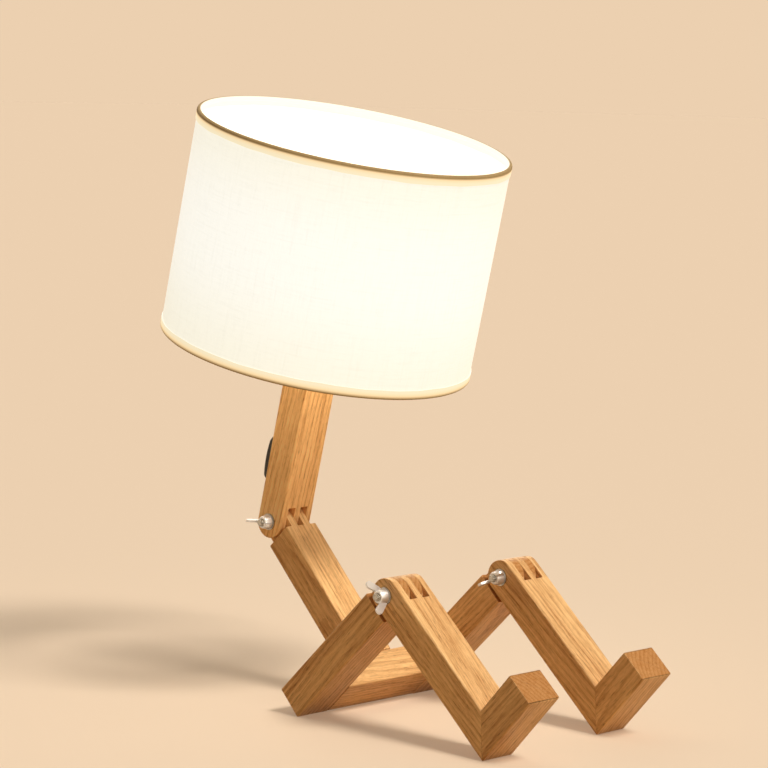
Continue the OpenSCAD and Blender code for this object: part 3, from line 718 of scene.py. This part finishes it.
# The radius of a wing's tip as a share of the wing's height, and the angles that it goes round
TIP_SHARE = 0.22
TIP_FROM = math.radians(-42)
TIP_ROUND = math.radians(177)


def wing_outline():
    """Outline of one wing in X and Z, from the nut's axis outwards."""
    tip_r = TIP_SHARE * WING_H
    centre = (WING_SPAN / 2 - tip_r, WING_H - tip_r)
    arc = []
    steps = 14
    for i in range(steps + 1):
        a = TIP_FROM + TIP_ROUND * i / steps
        arc.append((centre[0] + tip_r * math.cos(a), centre[1] + tip_r * math.sin(a)))
    root = [(HUB_R / 2, 0.12 * HUB_H), (HUB_R, 0.12 * HUB_H), (HUB_R + 1.6 * MM, 0.3 * HUB_H)]
    return root + arc + [(0.84 * HUB_R, 1.02 * HUB_H), (HUB_R / 2, 0.97 * HUB_H)]


def wing_nut_piece(name, material, place, turn):
    """A wing nut: a coned hub with two rounded wings."""
    bore = BOLT_R + NUT_PLAY
    outside = [(across * HUB_R, up * HUB_H) for across, up in HUB_PROFILE]
    hub = lathe(name, [(bore, 0.0), *outside, (bore, 0.94 * HUB_H)], ROUND_STEPS)
    wings = []
    for side in (0, 180):
        wing = extruded(name, wing_outline(), WING_T)
        wing.transform(Matrix.Rotation(math.radians(side), 4, "Z"))
        wings.append(wing)
    nut = bevelled(united(name, [hub, *wings], material), NUT_EASING)
    seat = place @ Matrix.Translation((0, -STOCK_W / 2 - WASHER_T, 0)) @ TO_RIGHT
    nut.data.transform(seat @ Matrix.Rotation(math.radians(turn), 4, "Z"))
    return nut


class LAMP_OT_wing_nuts(bpy.types.Operator):
    """Makes the three wing nuts"""
    bl_idname = "lamp.wing_nuts"
    bl_label = "Wing nuts"

    def execute(self, context):
        material = bpy.data.materials["zinc"]
        for name, (place, body, turn) in WING_NUTS.items():
            nut = wing_nut_piece(name + "_cast", material, place, turn)
            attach(nut, body)
            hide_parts(name)
        return {"FINISHED"}


# ------------------------ plastics, wiring and holder

SWITCH_EASING = 0.35 * MM
# Each smooth finish with its screen colour, roughness, the scale of its texture and its depth
FINISHES = {
    "black_plastic": ((52, 50, 47), 0.5, 2400.0, 0.25),
    "glossy_black_plastic": ((24, 23, 22), 0.16, 600.0, 0.05),
    "brown_wire": ((104, 62, 34), 0.42, 900.0, 0.1),
    "blue_wire": ((44, 84, 150), 0.42, 900.0, 0.1),
    "white_plastic": ((236, 233, 225), 0.34, 1800.0, 0.12),
    "porcelain": ((240, 238, 230), 0.14, 300.0, 0.05),
    "led_board": ((232, 230, 222), 0.4, 700.0, 0.1),
    "circuit_board": ((52, 104, 70), 0.35, 500.0, 0.1),
    "white_enamel": ((232, 229, 220), 0.3, 500.0, 0.12),
}
# Each lit finish with its two screen colours, the scale and detail of the cloud between them, its
# roughness, and the colour and strength of its light
LIT_FINISHES = {
    "opal_globe": ((250, 246, 236), (240, 232, 214), 160.0, 3.0, 0.35, (255, 232, 196), 10.0),
    "lit_liner": ((226, 222, 212), (214, 208, 194), 24.0, 2.0, 0.5, (255, 251, 238), 0.6),
}


def moulded(name):
    """A smooth material of that name, with a fine surface texture."""
    shown, roughness, texture, depth = FINISHES[name]
    colour = tone(*shown)
    material, tree, shader, place = new_material(name)
    fine = noise(tree, place, (texture, texture, texture), 3.0, 0.6)
    uneven = noise(tree, place, (60.0, 60.0, 60.0), 3.0)
    darker = tuple(0.86 * c for c in colour)
    clouded = mixed(tree, band(tree, uneven, 0.35, 0.7), rgba(colour), rgba(darker))
    tree.links.new(clouded, shader.inputs["Base Color"])
    tree.links.new(band(tree, uneven, 0.3, 0.7, roughness, roughness + 0.1), shader.inputs["Roughness"])
    bumped(tree, shader, fine, depth, 0.1 * MM)
    return material


def brass_material():
    """Brass with darker stains."""
    material, tree, shader, place = new_material("brass")
    stain = noise(tree, place, (500.0, 500.0, 500.0), 3.0)
    colour = mixed(tree, stain, rgba(tone(212, 170, 92)), rgba(tone(170, 126, 60)))
    tree.links.new(colour, shader.inputs["Base Color"])
    tree.links.new(band(tree, stain, 0.3, 0.7, 0.25, 0.42), shader.inputs["Roughness"])
    shader.inputs["Metallic"].default_value = 1.0
    return material


def lit_material(name):
    """A faintly clouded material of that name, which gives light."""
    first, second, scale, detail, roughness, light, strength = LIT_FINISHES[name]
    material, tree, shader, place = new_material(name)
    cloud = noise(tree, place, (scale, scale, scale), detail)
    colour = mixed(tree, cloud, rgba(tone(*first)), rgba(tone(*second)))
    tree.links.new(colour, shader.inputs["Base Color"])
    shader.inputs["Roughness"].default_value = roughness
    shader.inputs["Emission Color"].default_value = rgba(tone(*light))
    shader.inputs["Emission Strength"].default_value = strength
    return material


class LAMP_OT_switch(bpy.types.Operator):
    """Finishes the switch, the cord inlet and the wiring inside the post"""
    bl_idname = "lamp.switch"
    bl_label = "Switch and wiring"

    def execute(self, context):
        black = moulded("black_plastic")
        dress(black, "cord_bush", "bulb_insulator")
        eased("switch_housing", "torso", black, SWITCH_EASING)
        eased("switch_rocker", "rocker", moulded("glossy_black_plastic"), SWITCH_EASING)
        dress(moulded("brown_wire"), "live_wire", "supply_tail")
        dress(moulded("blue_wire"), "neutral_wire")
        dress(brass_material(), "switch_terminals", "terminal_screws", "centre_contact", "screw_sleeve")
        return {"FINISHED"}


class LAMP_OT_lampholder(bpy.types.Operator):
    """Finishes the lampholder and the nipple that carries it"""
    bl_idname = "lamp.lampholder"
    bl_label = "Lampholder"

    def execute(self, context):
        white = moulded("white_plastic")
        dress(white, "wire_joiners", "holder_cap", "holder_shell", "shade_ring_nut", "bulb_body")
        glazed = moulded("porcelain")
        glazed.node_tree.nodes["Principled BSDF"].inputs["Coat Weight"].default_value = 0.6
        dress(glazed, "holder_core")
        zinc = bpy.data.materials["zinc"]
        dress(zinc, "holder_nipple", "nipple_nut", "bulb_contact", "bulb_screw_cap")
        return {"FINISHED"}


class LAMP_OT_bulb(bpy.types.Operator):
    """Finishes the bulb: its lit globe and its boards"""
    bl_idname = "lamp.bulb"
    bl_label = "Bulb"

    def execute(self, context):
        dress(lit_material("opal_globe"), "bulb_globe")
        dress(moulded("led_board"), "led_board")
        dress(moulded("circuit_board"), "bulb_driver")
        return {"FINISHED"}


# ------------------------ shade


class LAMP_OT_shade_frame(bpy.types.Operator):
    """Finishes the wire rings and arms, and the lit liner"""
    bl_idname = "lamp.shade_frame"
    bl_label = "Shade frame and liner"

    def execute(self, context):
        dress(moulded("white_enamel"), "shade_carrier", "shade_bottom_ring", "shade_top_ring")
        dress(lit_material("lit_liner"), "shade_liner")
        return {"FINISHED"}


# How fine the noise of the threads is across and along them: fine threads, and the thick ones
FINE_THREAD = (1500.0, 90.0)
SLUB = (620.0, 22.0)


def weave(tree, uv):
    """The threads of a linen cloth, from 0 to 1: fine threads both ways, with thick ones among them."""
    fine_up = noise(tree, uv, (*FINE_THREAD, 1.0), 2.0, 0.6)
    fine_round = noise(tree, uv, (*FINE_THREAD[::-1], 1.0), 2.0, 0.6)
    slub_up = noise(tree, uv, (*SLUB, 1.0), 1.0)
    slub_round = noise(tree, uv, (*SLUB[::-1], 1.0), 1.0)
    fine = maths(tree, "ADD", fine_up, fine_round)
    slubs = maths(tree, "ADD", band(tree, slub_up, 0.45, 0.8), band(tree, slub_round, 0.45, 0.8))
    return maths(tree, "ADD", maths(tree, "MULTIPLY", fine, 0.4), maths(tree, "MULTIPLY", slubs, 0.12))


def cloth_material(settings):
    """Ivory linen with the lamp's light behind it, whitest round the bulb."""
    material, tree, shader, place = new_material("linen_cloth")
    uv = add(tree, "ShaderNodeUVMap", uv_map="UVMap").outputs[0]
    threads = band(tree, weave(tree, uv), 0.25, 0.75)
    thick = tuple(c * s for c, s in zip(settings.cloth, (0.93, 0.91, 0.86)))
    tree.links.new(mixed(tree, threads, rgba(settings.cloth), rgba(thick)), shader.inputs["Base Color"])
    up = add(tree, "ShaderNodeSeparateXYZ", {0: uv}).outputs[1]
    away = maths(tree, "ABSOLUTE", maths(tree, "SUBTRACT", up, BULB_UP - SHADE_UP))
    near_bulb = band(tree, away, 10 * MM, 90 * MM, 1.0, 0.0)
    warm = mixed(tree, near_bulb, rgba(tone(250, 246, 228)), rgba(settings.glow))
    light = band(tree, threads, 0.0, 1.0, 1.0, 0.93)
    level = add(tree, "ShaderNodeVectorMath", {0: warm, "Scale": light}, operation="SCALE").outputs[0]
    tree.links.new(level, shader.inputs["Emission Color"])
    shader.inputs["Emission Strength"].default_value = settings.glow_strength
    shader.inputs["Roughness"].default_value = 0.85
    shader.inputs["Sheen Weight"].default_value = 0.2
    shader.inputs["Sheen Tint"].default_value = rgba(tone(255, 236, 196))
    bumped(tree, shader, threads, 0.4, 0.15 * MM)
    return material


# The strip of cloth: its thickness, the lap of its ends, the length in which its outer end climbs
# onto its inner one, the room under it and between its ends, and the columns and rows of its mesh
CLOTH_T = 0.35 * MM
LAP = 9 * MM
CLIMB = 3 * MM
ROOM_UNDER = 0.02 * MM
ROOM_IN_LAP = 0.03 * MM
CLOTH_GRID = (330, 16)


def cloth_piece(material):
    """The cloth round the drum: one strip whose ends overlap at the back of the head."""
    low, high = LOWER_RING + WIRE_R, UPPER_RING - WIRE_R
    columns, rows = CLOTH_GRID
    lap = LAP / SHADE_R
    ramp = CLIMB / SHADE_R
    total = 2 * math.pi + lap
    inside = SHADE_R - CLOTH_GAP + CLOTH_T / 2 + ROOM_UNDER
    shape = bmesh.new()
    uv = shape.loops.layers.uv.new("UVMap")
    grid = []
    for i in range(columns + 1):
        turn = total * i / columns
        climb = min(1.0, max(0.0, (turn - (2 * math.pi - ramp)) / ramp))
        radius = inside + (CLOTH_T + ROOM_IN_LAP) * climb * climb * (3 - 2 * climb)
        angle = math.pi - lap / 2 + turn
        x, y = radius * math.cos(angle), radius * math.sin(angle)
        grid.append([shape.verts.new((x, y, low + (high - low) * j / rows)) for j in range(rows + 1)])
    for i in range(columns):
        for j in range(rows):
            face = shape.faces.new([grid[i][j], grid[i + 1][j], grid[i + 1][j + 1], grid[i][j + 1]])
            corners = ((i, j), (i + 1, j), (i + 1, j + 1), (i, j + 1))
            for loop, (a, b) in zip(face.loops, corners):
                loop[uv].uv = (total * a / columns * SHADE_R, low - SHADE_UP + (high - low) * b / rows)
    cloth = piece("shade_cloth", drawn("shade_cloth", shape), material)
    wall = cloth.modifiers.new("wall", "SOLIDIFY")
    wall.thickness = CLOTH_T
    wall.offset = 0
    settled(cloth)
    cloth.data.transform(TORSO)
    return finished(cloth, 40), (total * SHADE_R, high - low)


# The hem tape's centre line on the cloth, on the liner and round the wire, from the ring's centre
OUTER_FLANGE = SHADE_R + TAPE_T / 2 - RING_R
INNER_FLANGE = SHADE_R - CLOTH_GAP - LINER_T - TAPE_T / 2 - RING_R
ROLL_R = WIRE_R + TAPE_T / 2
ROLL_TURN = 2 * math.pi - math.acos(INNER_FLANGE / ROLL_R)
ROLL_STEPS = 26
FLANGE_ROWS = 5
HEM_SIDES = 300
# How far the hem's glued edge strays from straight
EDGE_WANDER = 0.16 * MM


def hem_material(settings, name, first, last, soft):
    """Hem tape lit through where it lies on the cloth, with painted shade round the wire: brown between two angles
    of its roll, counted from the cloth's side, with soft edges, and darker between its threads there. Past the
    last angle, facing the bulb, it glows white, which is painted light."""
    material, tree, shader, place = new_material(name)
    uv = add(tree, "ShaderNodeUVMap", uv_map="UVMap").outputs[0]
    threads = band(tree, weave(tree, uv), 0.25, 0.75)
    along = add(tree, "ShaderNodeSeparateXYZ", {0: uv}).outputs[1]
    start = settings.hem_width + ROLL_R * math.radians(first)
    end = settings.hem_width + ROLL_R * math.radians(last)
    # Painted shade round the wire, from the first angle to the last
    begun = band(tree, along, start - soft, start + soft)
    # Past the last angle, on the inner side that faces the bulb: painted light
    inside = band(tree, along, end - 0.5 * MM, end + 0.5 * MM)
    painted_shade_on_wire = maths(tree, "SUBTRACT", begun, inside)
    pale = tuple(c * s for c, s in zip(settings.cloth, (1.1, 0.95, 0.7)))
    body = mixed(tree, painted_shade_on_wire, rgba(pale), rgba(settings.hem))
    # Painted shade: darker still between the threads over the wire
    between = tuple(0.62 * c for c in settings.hem)
    depth = maths(tree, "MULTIPLY", threads, maths(tree, "MULTIPLY", painted_shade_on_wire, 0.5))
    tree.links.new(mixed(tree, depth, body, rgba(between)), shader.inputs["Base Color"])
    near_wire = band(tree, along, 1.0 * MM, settings.hem_width)
    flange = mixed(tree, near_wire, rgba(tone(243, 230, 196)), rgba(tone(250, 216, 162)))
    # Painted light: the part inside the roll glows white, as if lit by the bulb
    lit = mixed(tree, inside, flange, rgba(tone(255, 252, 240)))
    flange_glow_and_painted_light = mixed(tree, painted_shade_on_wire, lit, rgba((0.02, 0.012, 0.005)))
    tree.links.new(flange_glow_and_painted_light, shader.inputs["Emission Color"])
    shader.inputs["Emission Strength"].default_value = settings.glow_strength
    shader.inputs["Roughness"].default_value = 0.8
    bumped(tree, shader, threads, 0.5, 0.15 * MM)
    return material


def hem_piece(name, material, settings, ring_up, way):
    """A hem tape folded round a rim's ring: way is 1 where its edges point up, and -1 where they hang."""
    rows = FLANGE_ROWS
    centre = [(OUTER_FLANGE, settings.hem_width * (1 - i / rows)) for i in range(rows)]
    for i in range(ROLL_STEPS + 1):
        a = -ROLL_TURN * i / ROLL_STEPS
        centre.append((ROLL_R * math.cos(a), ROLL_R * math.sin(a)))
    fold_up = centre[-1][1]
    inner_l = settings.hem_width - fold_up
    centre += [(INNER_FLANGE, fold_up + inner_l * i / rows) for i in range(1, rows + 1)]
    half = TAPE_T / 2
    outer, inner = [], []
    for i, (x, z) in enumerate(centre):
        before, after = centre[max(0, i - 1)], centre[min(len(centre) - 1, i + 1)]
        dx, dz = after[0] - before[0], after[1] - before[1]
        size = math.hypot(dx, dz)
        nx, nz = -dz / size, dx / size
        outer.append((x + half * nx, z + half * nz))
        inner.append((x - half * nx, z - half * nz))
    section = outer + inner[::-1]
    outline = [(RING_R + x, ring_up + way * z) for x, z in section]
    edge = {0, len(outer) - 1, len(outer), len(section) - 1}

    def wander(turn, index):
        """The glued edge isn't quite even."""
        if index not in edge:
            return 0
        waves = math.sin(7 * turn + 0.6) + 0.7 * math.sin(17 * turn + way) + 0.5 * math.sin(31 * turn)
        return EDGE_WANDER * waves

    hem = piece(name, lathe(name, outline, HEM_SIDES, wander), material)
    hem.data.transform(TORSO)
    return finished(hem, 50)


class LAMP_OT_shade_cloth(bpy.types.Operator):
    """Makes the shade's cloth and the hem tapes round its rims"""
    bl_idname = "lamp.shade_cloth"
    bl_label = "Shade cloth and hems"

    def execute(self, context):
        settings = context.scene.lamp_shade
        cloth, flat = cloth_piece(cloth_material(settings))
        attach(cloth, "torso")
        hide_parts("shade_fabric")
        # Each hem with its node, its ring, its way, the angle at which its painted shade begins and how soft that
        # edge is
        for name, node, ring_up, way, first, soft in (
                ("top_hem", "shade_top_tape", UPPER_RING, -1, -24, 0.9 * MM),
                ("bottom_hem", "shade_bottom_tape", LOWER_RING, 1, -4, 1.5 * MM)):
            material = hem_material(settings, name + "_tape", first, 118, soft)
            hem = hem_piece(name, material, settings, ring_up, way)
            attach(hem, "torso")
            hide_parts(node)
        return {"FINISHED"}


# ------------------------ stage

# The camera's direction and lens, fitted to the photograph's view
VIEW_AZIMUTH = math.radians(43.98)
VIEW_ELEVATION = math.radians(5.97)
VIEW_ROLL = math.radians(1.2)
VIEW_TARGET = Vector((-0.0389, 0.0264, 0.2250))
VIEW_DISTANCE = 2.0419
VIEW_LENS = 133.7

# Each light with the way it comes from, its width in degrees and its colour
LIGHTS = {
    "key": ((0.58, 0.02, 0.81), 16, (1.0, 0.96, 0.90)),
    "front": ((0.93, -0.12, 0.20), 50, (1.0, 0.90, 0.78)),
    "back": ((-0.70, 0.60, 0.40), 50, (1.0, 0.95, 0.88)),
}
SKY_COLOUR = (1.0, 0.93, 0.84)


def aim_camera():
    """The camera at the photograph's view."""
    level = math.cos(VIEW_ELEVATION)
    back = Vector((math.sin(VIEW_AZIMUTH) * level, -math.cos(VIEW_AZIMUTH) * level, math.sin(VIEW_ELEVATION)))
    right = Vector((math.cos(VIEW_AZIMUTH), math.sin(VIEW_AZIMUTH), 0))
    up = back.cross(right)
    tilt_right = math.cos(VIEW_ROLL) * right + math.sin(VIEW_ROLL) * up
    camera = linked("camera", bpy.data.cameras.new("camera"))
    camera.data.lens = VIEW_LENS
    camera.data.sensor_width = 36
    camera.data.clip_end = 100
    camera.matrix_world = placed(VIEW_TARGET + back * VIEW_DISTANCE, tilt_right, back)
    bpy.context.scene.camera = camera


def set_lights(settings):
    """Distant soft lights from above, from the front and from behind."""
    for name, (toward, width, colour) in LIGHTS.items():
        light = bpy.data.lights.new(name + "_light", "SUN")
        light.energy = getattr(settings, name)
        light.angle = math.radians(width)
        light.color = colour
        lamp = linked(name + "_light", light)
        lamp.rotation_euler = Vector(toward).to_track_quat("Z", "Y").to_euler()


def light_on_floor(settings):
    """The light that reaches the open floor, where 1 shows a colour as it is written."""
    total = settings.sky * Vector(SKY_COLOUR)
    for name, (toward, _, colour) in LIGHTS.items():
        total += getattr(settings, name) / math.pi * Vector(toward).normalized().z * Vector(colour)
    return total


def set_sky(settings):
    """Even light all round, with the floor's colour behind everything."""
    world = bpy.data.worlds.new("studio")
    bpy.context.scene.world = world
    world.use_nodes = True
    tree = world.node_tree
    tree.nodes.clear()
    lighting = add(tree, "ShaderNodeBackground", {"Color": rgba(SKY_COLOUR), "Strength": settings.sky})
    shown = add(tree, "ShaderNodeBackground", {"Color": rgba(settings.floor), "Strength": 1.0})
    mix = add(tree, "ShaderNodeMixShader", {0: shown_rays(tree), 1: lighting.outputs[0], 2: shown.outputs[0]})
    out = tree.nodes.new("ShaderNodeOutputWorld")
    tree.links.new(mix.outputs[0], out.inputs[0])


def shown_rays(tree):
    """1 where the stage is seen straight, in metal or through glass."""
    path = tree.nodes.new("ShaderNodeLightPath").outputs
    bent = maths(tree, "MAXIMUM", path["Is Glossy Ray"], path["Is Transmission Ray"])
    return maths(tree, "MAXIMUM", path["Is Camera Ray"], bent)


def floor_material(settings):
    """A matt floor that keeps the lamp's shadow, and where it is seen is as pale as the background."""
    material, tree, shader, place = new_material("floor")
    tree.nodes.remove(shader)
    seen = shown_rays(tree)
    # The share of the floor's colour that comes from the lights, so that shadows show on it
    shaded = 0.72
    lit = tuple(shaded * c / light for c, light in zip(settings.floor, light_on_floor(settings)))
    matt = add(tree, "ShaderNodeBsdfDiffuse", {"Color": mixed(tree, seen, rgba(settings.bounce), rgba(lit))})
    pale = tuple((1 - shaded) * c for c in settings.floor)
    own = add(tree, "ShaderNodeEmission", {"Color": rgba(pale), "Strength": seen})
    both = add(tree, "ShaderNodeAddShader", {0: matt.outputs[0], 1: own.outputs[0]})
    out = tree.nodes["Material Output"]
    tree.links.new(both.outputs[0], out.inputs[0])
    return material


class LAMP_OT_stage(bpy.types.Operator):
    """Sets the floor, the lights and the camera"""
    bl_idname = "lamp.stage"
    bl_label = "Stage"

    def execute(self, context):
        settings = context.scene.lamp_stage
        context.scene.view_settings.view_transform = "Standard"
        aim_camera()
        set_sky(settings)
        set_lights(settings)
        reach, depth = 40.0, 20 * MM
        slab = box_mesh("floor", (-reach, -reach, -depth), (reach, reach, 0))
        floor = piece("floor", slab, floor_material(settings))
        return {"FINISHED"}


# ------------------------ panel

STEPS = (
    LAMP_OT_timber, LAMP_OT_dowels, LAMP_OT_bolts, LAMP_OT_wing_nuts, LAMP_OT_switch, LAMP_OT_lampholder,
    LAMP_OT_bulb, LAMP_OT_shade_frame, LAMP_OT_shade_cloth, LAMP_OT_stage,
)
GROUPS = {
    "lamp_timber": TimberSettings, "lamp_shade": ShadeSettings,
    "lamp_hardware": HardwareSettings, "lamp_stage": StageSettings,
}


class LAMP_PT_parts(bpy.types.Panel):
    bl_label = "Desk lamp"
    bl_space_type = "VIEW_3D"
    bl_region_type = "UI"
    bl_category = "Desk lamp"

    def draw(self, context):
        for step in STEPS:
            self.layout.operator(step.bl_idname)
        for name, group in GROUPS.items():
            box = self.layout.box()
            for prop in group.__annotations__:
                box.prop(getattr(context.scene, name), prop)


def register():
    for kind in (*GROUPS.values(), *STEPS, LAMP_PT_parts):
        bpy.utils.register_class(kind)
    for name, group in GROUPS.items():
        setattr(bpy.types.Scene, name, PointerProperty(type=group))


def unregister():
    for name in GROUPS:
        delattr(bpy.types.Scene, name)
    for kind in reversed((*GROUPS.values(), *STEPS, LAMP_PT_parts)):
        bpy.utils.unregister_class(kind)


def main():
    """Makes the whole lamp."""
    register()
    for step in STEPS:
        group, name = step.bl_idname.split(".")
        getattr(getattr(bpy.ops, group), name)()


if __name__ == "__main__":
    main()
